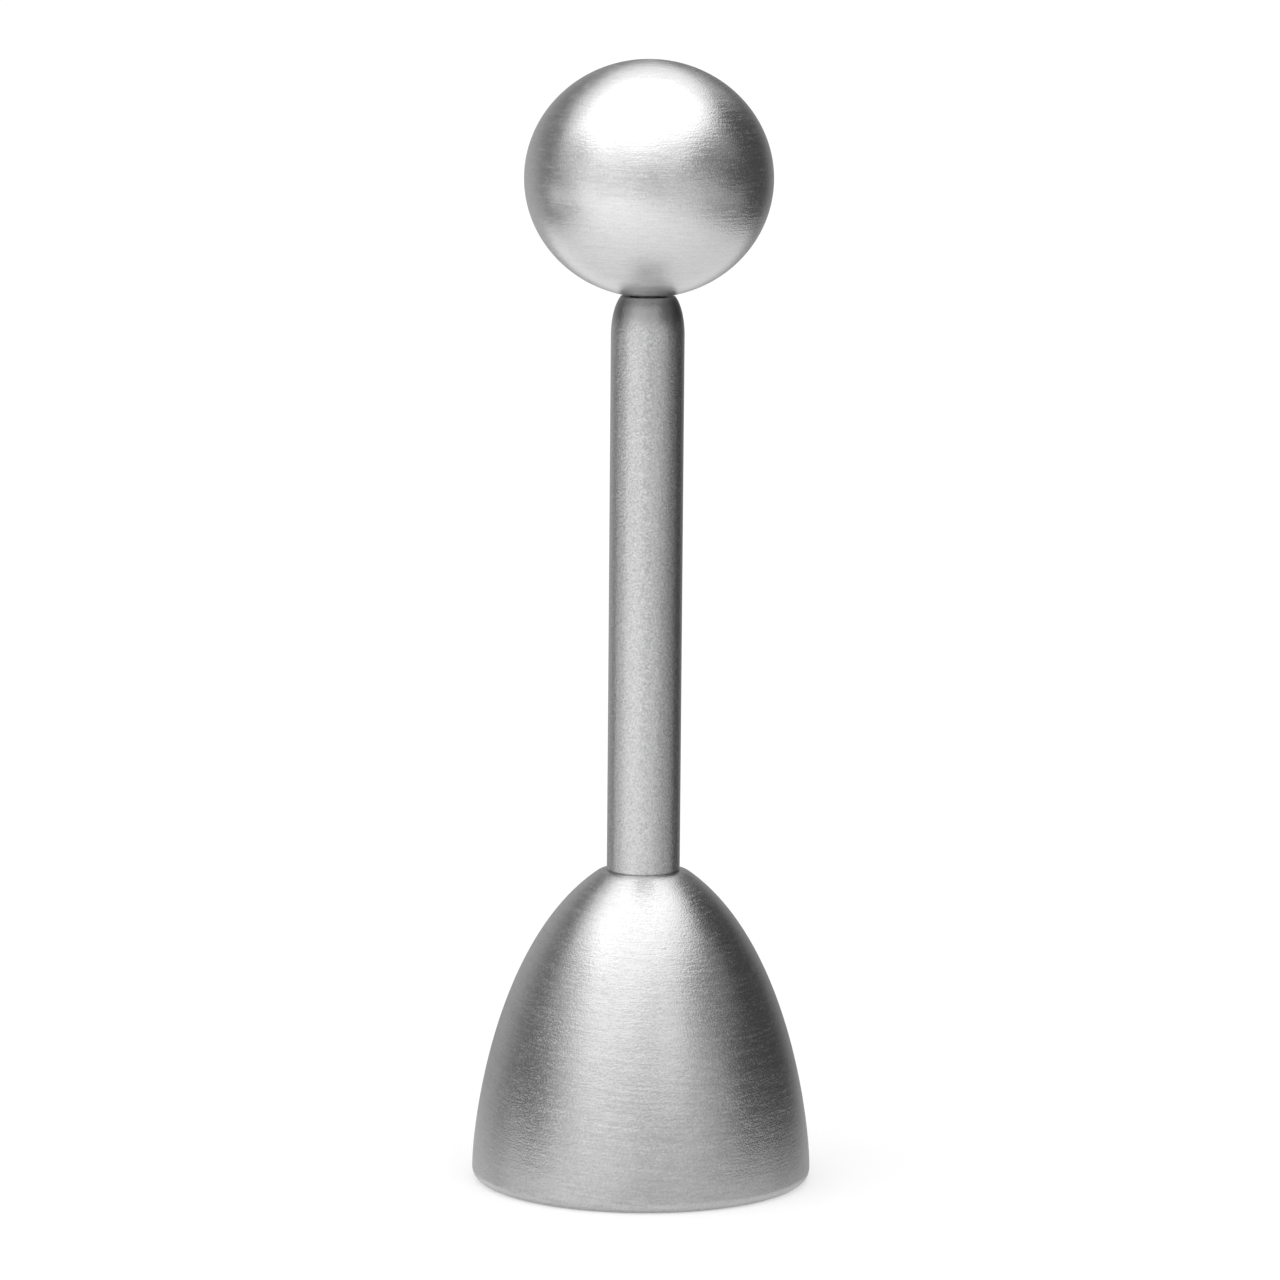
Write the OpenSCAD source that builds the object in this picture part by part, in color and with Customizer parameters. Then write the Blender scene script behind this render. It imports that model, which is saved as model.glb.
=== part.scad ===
// Spring-loaded egg topper: a steel bell on a tube, with a ball knob that is pulled up and let go.
// The striker inside the tube then knocks on the anvil, and the bell's rim cracks the egg's shell.
// Millimetres. Z is the axis of the tool, the rim stands on z = 0, and the ball knob is on top.

/* [Bell] */
// Outside diameter of the bell at its widest
bell_d = 40; // [34:0.5:48]
// Height of the bell, from the rim to the flat that the tube stands on
bell_h = 36.9; // [32:0.1:44]
// Thickness of the bell's sheet
bell_wall = 1.2; // [0.8:0.1:1.6]
// Diameter of the mouth inside the turned-in rim
mouth_d = 33; // [27:0.5:34]
// Diameter of the flat on top of the bell
crown_d = 10.1; // [9.9:0.1:13]
// Fall of the bell where it leaves the flat on top, in degrees
crown_slope = 34; // [26:1:42]
// How far that fall carries into the bell's outline
crown_pull = 15; // [11:0.5:17]
// How far the upright wall above the rim carries into the outline
skirt_pull = 4.8; // [2:0.1:8]
// Height of the rounded corner at the rim
rim_h = 1.3; // [0.8:0.1:1.6]
// Width of the rounded corner at the rim
rim_w = 1.1; // [0.7:0.1:1.5]

/* [Handle tube] */
// Outside diameter of the handle tube
tube_d = 8.6; // [8.4:0.1:9.6]
// Wall thickness of the handle tube
tube_wall = 0.8; // [0.6:0.05:0.9]
// Length of the handle tube
tube_len = 67.7; // [62:0.1:80]
// Length of the tube's rounded top end
nose_h = 4.6; // [4:0.1:4.8]
// Half height of the oval that the rounded end follows
nose_rise = 5.1; // [4.9:0.1:7]
// Half width of the oval that the rounded end follows
nose_inset = 2; // [1.2:0.05:2.1]
// Width of the lip left round the dish in the tube's top end
lip_w = 0.1; // [0.05:0.05:0.3]

/* [Knob] */
// Diameter of the ball knob
knob_d = 29; // [25:0.5:33]
// Height of the ball knob, which is a little flatter than round
knob_h = 27.6; // [24:0.2:32]
// Wall of the hollow ball knob
knob_wall = 1.2; // [0.8:0.1:2]
// How far the knob's underside dips into the dish in the tube's top end
knob_dip = 0.15; // [0.05:0.05:0.3]
// Gap between the knob and that dish at rest
dish_gap = 0.15; // [0.1:0.05:0.3]
// Diameter of the threaded insert in the knob
insert_d = 6.4; // [5.5:0.1:8]
// Length of the threaded insert
insert_len = 11; // [8:0.5:14]

/* [Rod and striker] */
// Diameter of the pull rod
rod_d = 3.2; // [2.6:0.1:3.4]
// Depth of the rod's thread in the knob insert
rod_in_knob = 8; // [5:0.5:9]
// Running gap all round between the rod and its guide bush
rod_play = 0.06; // [0.03:0.01:0.1]
// Length of the striker
striker_len = 14; // [11:0.5:17]
// Running gap all round between the striker and the tube
striker_play = 0.08; // [0.03:0.01:0.1]
// Steel left under the rod's end in the striker
striker_floor = 3; // [2:0.5:5]
// Width of the chamfer at the striker's ends
striker_chamfer = 0.4; // [0.2:0.05:0.8]
// Diameter of the pin through the striker and the rod
pin_d = 1.2; // [0.8:0.1:1.5]
// Height of that pin above the striker's lower face
pin_height = 8; // [6:0.5:9]
// How far the pin's ends stay inside the striker's skin
pin_inset = 0.2; // [0.1:0.05:0.4]

/* [Guide bush] */
// Length of the bush in the straight part of the tube
bush_len = 6.1; // [4:0.1:8]
// Diameter of the bush's nose, which fills the hole in the tube's top
bush_nose_d = 4.4; // [4.2:0.1:4.8]
// How far the bush's nose stays below the lip of the tube's top end
nose_sunk = 0.4; // [0.3:0.05:0.6]

/* [Spring] */
// Diameter of the spring's wire
wire_d = 0.7; // [0.6:0.05:0.8]
// Gap all round between the spring and the tube
spring_play = 0.4; // [0.3:0.05:0.5]
// Number of turns in the spring
spring_turns = 18; // [14:1:20]
// Gap between the spring's first two turns, and its last two
end_gap = 0.45; // [0.42:0.01:0.8]
// Thickness of the washer between the spring and the striker
seat_t = 0.6; // [0.4:0.1:1]
// Gap all round between that washer and the tube
seat_play = 0.3; // [0.2:0.05:0.5]
// Gap all round between that washer and the rod
seat_bore_play = 0.1; // [0.05:0.05:0.2]

/* [Anvil and bell screw] */
// Height of the anvil inside the tube
anvil_h = 9.5; // [8.6:0.1:13]
// Diameter of the anvil's spigot, which centres the tube on the bell
spigot_d = 6; // [5.4:0.1:6.4]
// Gap between the spigot and the hole in the bell
spigot_play = 0.05; // [0.02:0.01:0.1]
// How far the spigot stays above the inside face of the bell
spigot_short = 0.2; // [0.1:0.05:0.4]
// Thread diameter of the screw that holds the bell
screw_d = 4; // [3:0.5:4.5]
// Length of the screw below its head
screw_len = 9; // [8:0.5:10]
// Depth of the tapped hole past the screw's end
tap_spare = 0.8; // [0.3:0.1:1.2]
// Diameter of the screw's head
screw_head_d = 7; // [6:0.1:8]
// Height of the screw's head
screw_head_h = 2.4; // [1.8:0.1:3]
// Width across flats of the hexagon socket in the head
socket_af = 2.5; // [2:0.1:3]
// Depth of the hexagon socket
socket_depth = 1.4; // [1:0.1:1.6]
// Rounding of the screw's head
head_round = 1; // [0.5:0.1:1.2]
// Diameter of the flat washer inside the bell
washer_d = 8.8; // [8:0.1:9]
// Thickness of the flat washer inside the bell
washer_t = 1; // [0.6:0.1:1.4]
// Gap between the screw and the holes of both washers
washer_play = 0.15; // [0.1:0.05:0.2]
// Diameter of the split lock washer
lock_d = 7; // [6:0.1:7.8]
// Thickness of the split lock washer
lock_t = 0.9; // [0.6:0.1:1.2]
// Width of the split in the lock washer
lock_split = 0.7; // [0.4:0.1:1]

/* [Hidden] */

round_steps = 96;
wire_sides = 6;
turn_rings = 8;
flank_steps = 26;
corner_steps = 6;
knob_steps = 20;
nose_steps = 10;
dish_steps = 4;
over = 1;
full_turn = 360;
quarter = 90;

// Heights on the tool's axis
tube_foot = bell_h;
tube_top = tube_foot + tube_len;
nose_foot = tube_top - nose_h;
anvil_top = tube_foot + anvil_h;
striker_top = anvil_top + striker_len;
spring_foot = striker_top + seat_t;
bush_foot = nose_foot - bush_len;
knob_foot = tube_top - knob_dip;
knob_mid = knob_foot + knob_h / 2;
rod_foot = anvil_top + striker_floor;
rod_top = knob_foot + rod_in_knob;
crown_under = bell_h - bell_wall;
washer_foot = crown_under - washer_t;
lock_foot = washer_foot - lock_t;
tap_top = lock_foot + screw_len + tap_spare;

// Radii that are shared by pieces that fit each other
bell_r = bell_d / 2;
mouth_r = mouth_d / 2;
crown_r = crown_d / 2;
tube_r = tube_d / 2;
bore_r = tube_r - tube_wall;
rod_r = rod_d / 2;
screw_r = screw_d / 2;
knob_r = knob_d / 2;
coil_r = bore_r - spring_play - wire_d / 2;
rim_fillet = bell_wall / 3;

// Points on an oval, from one angle to another, around the height z
function oval(rx, rz, z, from, to, steps) =
    [for (i = [0:steps]) let (a = from + (to - from) * i / steps) [rx * cos(a), z + rz * sin(a)]];

// Point on a cubic curve with four control points, and its direction there
function curve_at(p, t) = pow(1 - t, 3) * p[0] + 3 * pow(1 - t, 2) * t * p[1]
    + 3 * (1 - t) * t * t * p[2] + pow(t, 3) * p[3];
function curve_run(p, t) = 3 * pow(1 - t, 2) * (p[1] - p[0]) + 6 * (1 - t) * t * (p[2] - p[1])
    + 3 * t * t * (p[3] - p[2]);
// Point that lies the depth d inside the curve, square to its direction
function curve_inside(p, t, d) =
    let (v = curve_run(p, t), n = norm(v)) curve_at(p, t) + d * [v[1], -v[0]] / n;

// The bell's flank: it leaves the crown at its slope and meets the rim's corner upright
flank = [[crown_r, bell_h],
    [crown_r + crown_pull * cos(crown_slope), bell_h - crown_pull * sin(crown_slope)],
    [bell_r, rim_h + skirt_pull],
    [bell_r, rim_h]];
flank_outside = [for (i = [0:flank_steps]) curve_at(flank, i / flank_steps)];
flank_inside = [for (i = [flank_steps:-1:0]) curve_inside(flank, i / flank_steps, bell_wall)];
// The inside keeps only the points between the rim's fillet and the crown's underside
flank_kept = [for (q = flank_inside)
    if (q[1] > bell_wall + 2 * rim_fillet && q[1] < crown_under - bell_wall / 4) q];
crown_in = let (q = flank_kept[len(flank_kept) - 1])
    q[0] - (crown_under - q[1]) / tan(crown_slope);

module turned(points) {
    rotate_extrude($fn = round_steps) polygon(points);
}

module ring(outer, inner, z, h) {
    translate([0, 0, z]) difference() {
        cylinder(r = outer, h = h, $fn = round_steps);
        translate([0, 0, -over]) cylinder(r = inner, h = h + 2 * over, $fn = round_steps);
    }
}

// Pressed cup with its rim turned in to a flat ring, and a hole in its crown
module bell() {
    hole_r = spigot_d / 2 + spigot_play;
    inside_r = bell_r - bell_wall;
    color("silver") turned(concat(
        [[hole_r, bell_h]],
        flank_outside,
        oval(rim_w, rim_h, rim_h, 0, -quarter, corner_steps) + [for (i = [0:corner_steps]) [bell_r - rim_w, 0]],
        [[mouth_r, 0], [mouth_r, bell_wall], [inside_r - rim_fillet, bell_wall],
            [inside_r, bell_wall + rim_fillet]],
        flank_kept,
        [[crown_in, crown_under], [hole_r, crown_under]]));
}

// Half width of the tube at the height z above the foot of its rounded end, for one of its skins
function nose_r(z, skin) = tube_r - skin - nose_inset * (1 - sqrt(1 - pow(z / nose_rise, 2)));

// Height of the dish at the radius r: it follows the knob's underside, but never rises past the lip
function dish_z(r) = min(tube_top, knob_mid - knob_h / 2 * sqrt(1 - pow(r / knob_r, 2)) - dish_gap);

// Tube whose top end is spun in to a rounded nose, dished for the knob, with a hole for the guide bush
module handle_tube() {
    hole_r = bush_nose_d / 2;
    lip_r = nose_r(nose_h, 0) - lip_w;
    inner_rise = nose_h - tube_wall;
    color("silver") turned(concat(
        [[bore_r, tube_foot], [tube_r, tube_foot]],
        [for (i = [0:nose_steps]) let (z = nose_h * i / nose_steps) [nose_r(z, 0), nose_foot + z]],
        [for (i = [0:dish_steps]) let (r = lip_r + (hole_r - lip_r) * i / dish_steps) [r, dish_z(r)]],
        [[hole_r, tube_top - tube_wall]],
        [for (i = [nose_steps:-1:0]) let (z = inner_rise * i / nose_steps)
            [nose_r(z, tube_wall), nose_foot + z]]));
}

// Bush that guides the rod and takes the push of the spring
module guide_bush() {
    nose_top = tube_top - nose_sunk;
    color("dimgray") difference() {
        union() {
            translate([0, 0, bush_foot]) cylinder(r = bore_r, h = bush_len, $fn = round_steps);
            translate([0, 0, bush_foot])
                cylinder(r = bush_nose_d / 2, h = nose_top - bush_foot, $fn = round_steps);
        }
        translate([0, 0, bush_foot - over])
            cylinder(r = rod_r + rod_play, h = nose_top - bush_foot + 2 * over, $fn = round_steps);
    }
}

// Plug in the tube's foot that the striker knocks on, tapped for the bell's screw
module anvil() {
    spigot_foot = crown_under + spigot_short;
    color("gray") difference() {
        union() {
            translate([0, 0, tube_foot]) cylinder(r = bore_r, h = anvil_h, $fn = round_steps);
            translate([0, 0, spigot_foot])
                cylinder(r = spigot_d / 2, h = tube_foot - spigot_foot + over, $fn = round_steps);
        }
        translate([0, 0, spigot_foot - over])
            cylinder(r = screw_r, h = tap_top - spigot_foot + over, $fn = round_steps);
    }
}

module bell_washer() {
    color("silver") ring(washer_d / 2, screw_r + washer_play, washer_foot, washer_t);
}

// Split washer that keeps the screw from working loose
module lock_washer() {
    color("darkgray") difference() {
        ring(lock_d / 2, screw_r + washer_play, lock_foot, lock_t);
        translate([0, -lock_split / 2, lock_foot - over])
            cube([lock_d, lock_split, lock_t + 2 * over]);
    }
}

// Round-headed screw with a hexagon socket
module bell_screw() {
    head_foot = lock_foot - screw_head_h;
    socket_r = socket_af / 2 / cos(full_turn / 12);
    head_r = screw_head_d / 2;
    corner = oval(head_round, head_round, head_foot + head_round, -quarter, 0, corner_steps);
    color("silver") difference() {
        turned(concat(
            [[0, head_foot]],
            [for (q = corner) [q[0] + head_r - head_round, q[1]]],
            [[head_r, lock_foot], [screw_r, lock_foot], [screw_r, lock_foot + screw_len],
                [0, lock_foot + screw_len]]));
        translate([0, 0, head_foot - over]) cylinder(r = socket_r, h = socket_depth + over, $fn = 6);
    }
}

// One half of the hollow ball, from the pole at the first angle to the joint at its middle
module knob_half(pole) {
    color("silver") difference() {
        turned(concat(
            oval(knob_r, knob_h / 2, knob_mid, pole, 0, knob_steps),
            oval(knob_r - knob_wall, knob_h / 2 - knob_wall, knob_mid, 0, pole, knob_steps)));
        if (pole < 0) translate([0, 0, knob_foot - over])
            cylinder(r = insert_d / 2, h = insert_len, $fn = round_steps);
    }
}

module knob_upper_shell() {
    knob_half(quarter);
}

module knob_lower_shell() {
    knob_half(-quarter);
}

// Threaded boss welded into the lower shell and dressed flush with the ball
module knob_insert() {
    color("silver") difference() {
        intersection() {
            translate([0, 0, knob_foot - over])
                cylinder(r = insert_d / 2, h = insert_len + over, $fn = round_steps);
            turned(concat(oval(knob_r, knob_h / 2, knob_mid, -quarter, 0, knob_steps),
                [[0, knob_mid]]));
        }
        translate([0, 0, knob_foot - over])
            cylinder(r = rod_r, h = rod_in_knob + over, $fn = round_steps);
    }
}

module pull_rod() {
    color("lightgray") difference() {
        translate([0, 0, rod_foot]) cylinder(r = rod_r, h = rod_top - rod_foot, $fn = round_steps);
        pin_shape(2 * rod_d);
    }
}

// Weight on the rod's lower end
module striker() {
    r = bore_r - striker_play;
    c = striker_chamfer;
    color("gray") difference() {
        turned([[0, anvil_top], [r - c, anvil_top], [r, anvil_top + c], [r, striker_top - c],
            [r - c, striker_top], [0, striker_top]]);
        translate([0, 0, rod_foot]) cylinder(r = rod_r, h = striker_len, $fn = round_steps);
        pin_shape(tube_d);
    }
}

// Round bar of the given length across the axis, at the pin's height
module pin_shape(length) {
    translate([-length / 2, 0, anvil_top + pin_height]) rotate([0, quarter, 0])
        cylinder(r = pin_d / 2, h = length, $fn = round_steps);
}

module striker_pin() {
    color("dimgray") pin_shape(2 * (bore_r - striker_play - pin_inset));
}

// Washer on the striker that the spring stands on while the rod turns freely in it
module spring_washer() {
    color("lightgray") ring(bore_r - seat_play, rod_r + seat_bore_play, striker_top, seat_t);
}

// Centre line of the spring: its end turns lie close, and the turns between share the rest
wire_r = wire_d / 2;
spring_h = bush_foot - spring_foot;
end_turns = 1;
end_pitch = wire_d + end_gap;
ring_count = spring_turns * turn_rings;
open_pitch = (spring_h - wire_d - 2 * end_turns * end_pitch) / (spring_turns - 2 * end_turns);
function coil_z(n) = n < end_turns ? n * end_pitch
    : n > spring_turns - end_turns ? spring_h - wire_d - (spring_turns - n) * end_pitch
    : end_turns * end_pitch + (n - end_turns) * open_pitch;
function coil_point(i) = let (n = i / turn_rings)
    [coil_r * cos(n * full_turn), coil_r * sin(n * full_turn), spring_foot + wire_r + coil_z(n)];
coil_points = [for (i = [0:ring_count]) coil_point(i)];
least_gap = min([for (i = [0:ring_count - turn_rings])
    norm(coil_points[i + turn_rings] - coil_points[i])]) - wire_d;
echo(spring_least_gap = least_gap, pull_room = spring_h - (spring_turns + 1) * wire_d);

// Ring of the wire's outline around the centre line's point i
function wire_ring(i) = [for (k = [0:wire_sides - 1])
    let (a = i / turn_rings * full_turn, b = k * full_turn / wire_sides + quarter / 3,
        r = coil_r + wire_r * cos(b))
    [r * cos(a), r * sin(a), coil_points[i][2] + wire_r * sin(b)]];

// Round-wire compression spring, one unbroken wire
module spring() {
    points = [for (i = [0:ring_count]) each wire_ring(i)];
    sides = [for (i = [0:ring_count - 1]) for (k = [0:wire_sides - 1])
        let (a = i * wire_sides + k, b = i * wire_sides + (k + 1) % wire_sides)
        each [[a, a + wire_sides, b + wire_sides], [a, b + wire_sides, b]]];
    last = ring_count * wire_sides;
    first_cap = [for (k = [1:wire_sides - 2]) [0, k, k + 1]];
    last_cap = [for (k = [1:wire_sides - 2]) [last, last + k + 1, last + k]];
    color("gainsboro") polyhedron(points, concat(sides, first_cap, last_cap), convexity = 20);
}

bell();
handle_tube();
guide_bush();
anvil();
bell_washer();
lock_washer();
bell_screw();
knob_upper_shell();
knob_lower_shell();
knob_insert();
pull_rod();
striker();
striker_pin();
spring_washer();
spring();
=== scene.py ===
import math

import bpy
import numpy as np
from mathutils import Euler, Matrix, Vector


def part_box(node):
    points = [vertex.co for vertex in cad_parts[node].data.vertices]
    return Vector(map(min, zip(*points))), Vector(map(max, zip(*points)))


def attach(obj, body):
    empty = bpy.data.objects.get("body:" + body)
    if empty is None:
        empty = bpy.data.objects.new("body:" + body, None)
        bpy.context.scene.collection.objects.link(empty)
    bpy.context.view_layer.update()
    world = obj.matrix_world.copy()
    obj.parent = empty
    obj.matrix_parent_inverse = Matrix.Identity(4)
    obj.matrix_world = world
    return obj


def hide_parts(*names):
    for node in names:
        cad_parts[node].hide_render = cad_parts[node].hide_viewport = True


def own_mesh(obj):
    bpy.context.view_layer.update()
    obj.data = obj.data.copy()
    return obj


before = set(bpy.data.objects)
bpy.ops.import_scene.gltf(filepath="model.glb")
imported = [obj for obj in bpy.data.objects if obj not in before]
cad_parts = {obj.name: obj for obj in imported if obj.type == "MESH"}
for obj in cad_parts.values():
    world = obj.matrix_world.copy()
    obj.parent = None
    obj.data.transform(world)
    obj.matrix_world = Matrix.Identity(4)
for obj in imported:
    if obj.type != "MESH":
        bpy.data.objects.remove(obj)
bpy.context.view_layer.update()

mm = 0.001
onAxis = 1e-6    # a radius below this lies on the axis
flatShare = 1.6  # flats are held up to this many reaches from a soft corner


def cadReach(node):
    # Radius, foot and top of a turned CAD node in millimetres, read from its box
    low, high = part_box(node)
    return high.x / mm, low.z / mm, high.z / mm


# Profiles are lists of (radius, height) in millimetres. They run down the outside and up the inside.

def ovalPoints(centre, radii, start, end, count):
    # Point = centre + (first radius times the cosine, second radius times the sine) of even angles
    a = np.radians(np.linspace(start, end, count))
    return np.column_stack([centre[0] + radii[0] * np.cos(a), centre[1] + radii[1] * np.sin(a)])


def cubicPoints(controls, count):
    # Point = the four control points weighted by the cubic Bernstein weights of an even parameter
    t = np.linspace(0, 1, count)[:, None]
    w = 1 - t
    p = np.array(controls, float)
    return w ** 3 * p[0] + 3 * w ** 2 * t * p[1] + 3 * w * t ** 2 * p[2] + t ** 3 * p[3]


def insetPoints(points, depth):
    # Point = the given point moved by the depth, square to the path's own direction there
    run = np.gradient(points, axis=0)
    run /= np.linalg.norm(run, axis=1)[:, None]
    return points + depth * np.column_stack([run[:, 1], -run[:, 0]])


def softCorner(before, corner, after, reach, count=7):
    # A corner as a quadratic curve between two points that lie the reach before and after it,
    # with one more point on each side that keeps the flats next to it flat
    before, corner, after = (np.array(p, float) for p in (before, corner, after))
    back = (before - corner) / np.linalg.norm(before - corner)
    ahead = (after - corner) / np.linalg.norm(after - corner)
    a, b = corner + back * reach, corner + ahead * reach
    t = np.linspace(0, 1, count)[:, None]
    arc = (1 - t) ** 2 * a + 2 * t * (1 - t) * corner + t ** 2 * b
    return np.vstack([corner + back * reach * flatShare, arc, corner + ahead * reach * flatShare])


def softLoop(corners, reach):
    # A closed outline whose corners are all soft
    n = len(corners)
    return np.vstack([softCorner(corners[i - 1], corners[i], corners[(i + 1) % n], reach)
                      for i in range(n)])


def softPath(corners, reach):
    # An outline from axis to axis whose corners between are soft
    inside = [softCorner(corners[i - 1], corners[i], corners[i + 1], reach)
              for i in range(1, len(corners) - 1)]
    return np.vstack([corners[:1], *inside, corners[-1:]])


def meshObject(name, points, faceGroups, uvGroups):
    # Puts whole arrays into a mesh: each face group is an array of vertex numbers, a row for a face
    mesh = bpy.data.meshes.new(name)
    sizes = np.concatenate([np.full(len(f), f.shape[1]) for f in faceGroups])
    corners = np.concatenate([f.ravel() for f in faceGroups])
    mesh.vertices.add(len(points))
    mesh.loops.add(len(corners))
    mesh.polygons.add(len(sizes))
    mesh.vertices.foreach_set("co", (points * mm).astype(np.float32).ravel())
    mesh.loops.foreach_set("vertex_index", corners.astype(np.int32))
    starts = np.concatenate([[0], np.cumsum(sizes)[:-1]])
    mesh.polygons.foreach_set("loop_start", starts.astype(np.int32))
    layer = mesh.uv_layers.new(name="UVMap")
    uvs = np.concatenate([u.reshape(-1, 2) for u in uvGroups]) * mm
    layer.data.foreach_set("uv", uvs.astype(np.float32).ravel())
    mesh.update(calc_edges=True)
    mesh.validate()
    mesh.shade_smooth()
    piece = bpy.data.objects.new(name, mesh)
    bpy.context.scene.collection.objects.link(piece)
    return piece


def gridFaces(number):
    # A grid of vertex numbers as four-sided faces, each from one row and column to the next
    corners = [number[:-1, :-1], number[1:, :-1], number[1:, 1:], number[:-1, 1:]]
    return np.stack(corners, -1).reshape(-1, 4)


def gridMap(across, along):
    # The same faces on the map: a corner lies at its column's length across and its row's along
    u0, u1, v0, v1 = across[None, :-1], across[None, 1:], along[:-1, None], along[1:, None]
    return np.stack([np.stack(np.broadcast_arrays(u, v), -1)
                     for u, v in ((u0, v0), (u0, v1), (u1, v1), (u1, v0))], 2)


def turned(name, profile, segments, hexShare=None):
    # Surface of revolution: x = r cos a, y = r sin a, z = height, for each profile point and angle.
    # A profile that starts and ends on the axis gets poles, and any other closes on itself.
    # Where hexShare is 1 the ring is a hexagon instead of a circle: r is the distance to its flats.
    # The map holds real lengths: across is the way round, up is the way along the profile.
    profile = np.asarray(profile, float)
    poles = profile[0, 0] < onAxis and profile[-1, 0] < onAxis
    rings = profile[1:-1] if poles else profile
    share = np.zeros(len(profile)) if hexShare is None else np.asarray(hexShare, float)
    share = share[1:-1] if poles else share
    a = np.arange(segments) * 2 * math.pi / segments
    flats = 1 / np.cos(a % (math.pi / 3) - math.pi / 6)
    r = rings[:, :1] * (1 + share[:, None] * (flats[None, :] - 1))
    points = np.stack([r * np.cos(a), r * np.sin(a), np.repeat(rings[:, 1:], segments, 1)], -1)
    points = points.reshape(-1, 3)
    number = np.arange(len(points)).reshape(len(rings), segments)
    number = np.hstack([number, number[:, :1]])
    lengths = np.concatenate([[0], np.cumsum(np.linalg.norm(np.diff(profile, axis=0), axis=1))])
    around = np.arange(segments + 1) / segments * 2 * math.pi * profile[:, 0].max()
    along = lengths[1:-1] if poles else lengths
    if not poles:
        number = np.vstack([number, number[:1]])
        along = np.append(along, along[-1] + np.linalg.norm(profile[0] - profile[-1]))
    faces, uvs = [gridFaces(number)], [gridMap(around, along)]
    if poles:
        top, foot = len(points), len(points) + 1
        points = np.vstack([points, [0, 0, profile[0, 1]], [0, 0, profile[-1, 1]]])
        start = np.stack([np.full(segments, top), number[0, :-1], number[0, 1:]], -1)
        end = np.stack([number[-1, :-1], np.full(segments, foot), number[-1, 1:]], -1)
        mid = (around[:-1] + around[1:]) / 2
        level = [np.full(segments, v) for v in (lengths[0], lengths[1], lengths[-2], lengths[-1])]
        startUvs = np.stack([mid, level[0], around[:-1], level[1], around[1:], level[1]], -1)
        endUvs = np.stack([around[:-1], level[2], mid, level[3], around[1:], level[2]], -1)
        faces += [start, end]
        uvs += [startUvs.reshape(-1, 3, 2), endUvs.reshape(-1, 3, 2)]
    return meshObject(name, points, faces, uvs)


def finishPiece(piece, body, material, nodes):
    # Gives a finished piece its material and its body, and hides the CAD nodes that it stands for
    piece.data.materials.append(material)
    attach(piece, body)
    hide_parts(*nodes)
    return piece


def linearColour(hexText):
    # sRGB hex to linear: below the toe it is divided by 12.92, and above it is the 2.4 power
    c = np.array([int(hexText[i:i + 2], 16) / 255 for i in (1, 3, 5)])
    c = np.where(c <= 0.04045, c / 12.92, ((c + 0.055) / 1.055) ** 2.4)
    return (*c.tolist(), 1.0)


def addNode(tree, kind, settings=None, inputs=None):
    # Adds one node, with its settings, and its inputs as plain values or as links
    node = tree.nodes.new(kind)
    for key, value in (settings or {}).items():
        setattr(node, key, value)
    for key, value in (inputs or {}).items():
        if isinstance(value, bpy.types.NodeSocket):
            tree.links.new(value, node.inputs[key])
        else:
            node.inputs[key].default_value = value
    return node


def emptyMaterial(name):
    # A new material with no nodes in it, and its node tree
    material = bpy.data.materials.new(name)
    material.use_nodes = True
    material.node_tree.nodes.clear()
    return material, material.node_tree


def roundCoordinates(tree):
    # (x, y, length along the profile): it has no seam, and a pattern that is long in the first two
    # and short in the third lies in rings round the piece
    place = addNode(tree, "ShaderNodeTexCoord").outputs["Object"]
    flat = addNode(tree, "ShaderNodeSeparateXYZ", inputs={0: place})
    mapped = addNode(tree, "ShaderNodeUVMap", {"uv_map": "UVMap"}).outputs["UV"]
    along = addNode(tree, "ShaderNodeSeparateXYZ", inputs={0: mapped})
    return addNode(tree, "ShaderNodeCombineXYZ",
                   inputs={0: flat.outputs[0], 1: flat.outputs[1], 2: along.outputs[1]}).outputs[0]


# How the finishes read their noises
finishRules = {
    "noiseRange": (0.3, 0.7),     # a noise seldom leaves it, so it spans the whole change of roughness
    "colourRange": (0.35, 0.65),  # of the surface's height, from the dark to the light colour
    "ploughRange": (0.5, 0.68),   # of its height, where strokes and scratches begin to be rougher
    "pitRoughness": 0.4,          # added at the middle of a pit
    "scratchSpread": 1.6,         # spacing of the long scratches, in spacings of the short strokes
    "swirl": 7,                   # turn of the scratches round the axis, in turns of their tilt
    "crossTurn": 0.25}            # a quarter turn draws the highlight out across the brushing
noiseLow, noiseHigh = finishRules["noiseRange"]


def scratches(tree, place, length, spacing, tilt):
    # Noise stretched to the scratch's length and squeezed to its spacing, both in millimetres
    size = (length * mm, length * mm, spacing * mm)
    turn = (0, math.radians(tilt), math.radians(tilt * finishRules["swirl"]))
    laid = addNode(tree, "ShaderNodeMapping", {"vector_type": "TEXTURE"}, {0: place, 2: turn, 3: size})
    return addNode(tree, "ShaderNodeTexNoise", inputs={
        "Vector": laid.outputs[0], "Scale": 1.0, "Detail": 1.0, "Roughness": 0.5}).outputs["Fac"]


def paintedShadeTowardsTop(tree, colour, paintedShade):
    # Mixes in a painted shade colour: none of it up to the height "from", all of it at the height "to"
    place = addNode(tree, "ShaderNodeTexCoord").outputs["Object"]
    height = addNode(tree, "ShaderNodeSeparateXYZ", inputs={0: place}).outputs[2]
    share = addNode(tree, "ShaderNodeMapRange", {"interpolation_type": "SMOOTHSTEP"}, {
        0: height, 1: paintedShade["from"] * mm, 2: paintedShade["to"] * mm, 3: 0.0, 4: 1.0}).outputs[0]
    return addNode(tree, "ShaderNodeMix", {"data_type": "RGBA"}, {
        0: share, 6: colour, 7: linearColour(paintedShade["colour"])}).outputs[2]


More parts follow.
